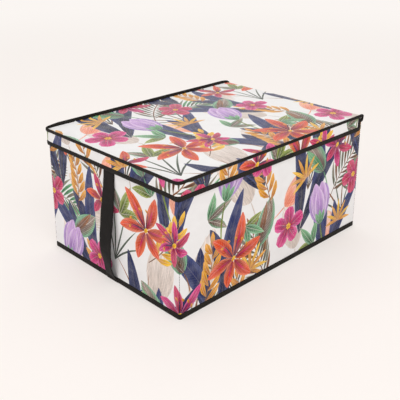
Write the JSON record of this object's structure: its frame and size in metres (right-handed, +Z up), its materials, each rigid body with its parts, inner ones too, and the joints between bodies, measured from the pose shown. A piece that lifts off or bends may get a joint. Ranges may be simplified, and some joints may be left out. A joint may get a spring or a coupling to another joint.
{
  "type": "storage box with lid",
  "caption": "Rectangular fabric-covered storage box with stiff walls, a hinged lid with a short overhanging rim, bound edges, a webbing handle on one end and a loose base insert.",
  "frame": {"origin": "middle of the base, on the surface that the box stands on", "axes": "+Z up, +X from the handle end to the hinge end, +Y to the left as seen from the handle end"},
  "size_m": [0.4134, 0.2996, 0.198],
  "materials": {
    "printed_cloth": "matte nonwoven cloth with a botanical print on a white ground",
    "lining_cloth": "plain white nonwoven cloth",
    "base_cloth": "plain black nonwoven cloth",
    "edge_tape": "black ribbed edge tape",
    "webbing": "black woven webbing",
    "thread": "black sewing thread",
    "chipboard": "grey-brown chipboard",
    "rim_card": "thin brown card"
  },
  "bodies": {
    "box": {"base_cover": "base_cloth", "base_binding": "edge_tape", "base_stitching": "thread", "wall_board_handle_end": "chipboard", "wall_board_hinge_end": "chipboard", "wall_board_left": "chipboard", "wall_board_right": "chipboard", "outer_cover": "printed_cloth", "inner_lining": "lining_cloth", "mouth_binding": "edge_tape", "mouth_stitching": "thread", "corner_stitching": "thread", "handle_strap": "webbing", "handle_stitching": "thread", "hinge_strip": "printed_cloth", "hinge_stitching": "thread"},
    "base_insert": {"insert_board": "chipboard", "insert_cover": "lining_cloth"},
    "lid": {"lid_cover": "printed_cloth", "lid_board": "chipboard", "lid_lining": "lining_cloth", "lid_edge_binding": "edge_tape", "lid_stitching": "thread", "rim_cover": "printed_cloth", "rim_board_handle_end": "rim_card", "rim_board_left": "rim_card", "rim_board_right": "rim_card", "rim_lining": "lining_cloth", "rim_edge_binding": "edge_tape", "rim_stitching": "thread"}
  },
  "joints": [
    {"name": "lid_hinge", "type": "hinge", "parent": "box", "child": "lid", "pos_m": [0.20025, 0, 0.1944], "axis": [0, 1, 0], "range_deg": [0, 207.5]},
    {"name": "base_insert_lift", "type": "slide", "parent": "box", "child": "base_insert", "axis": [0, 0, 1], "range_m": [0, 0.187]}
  ]
}
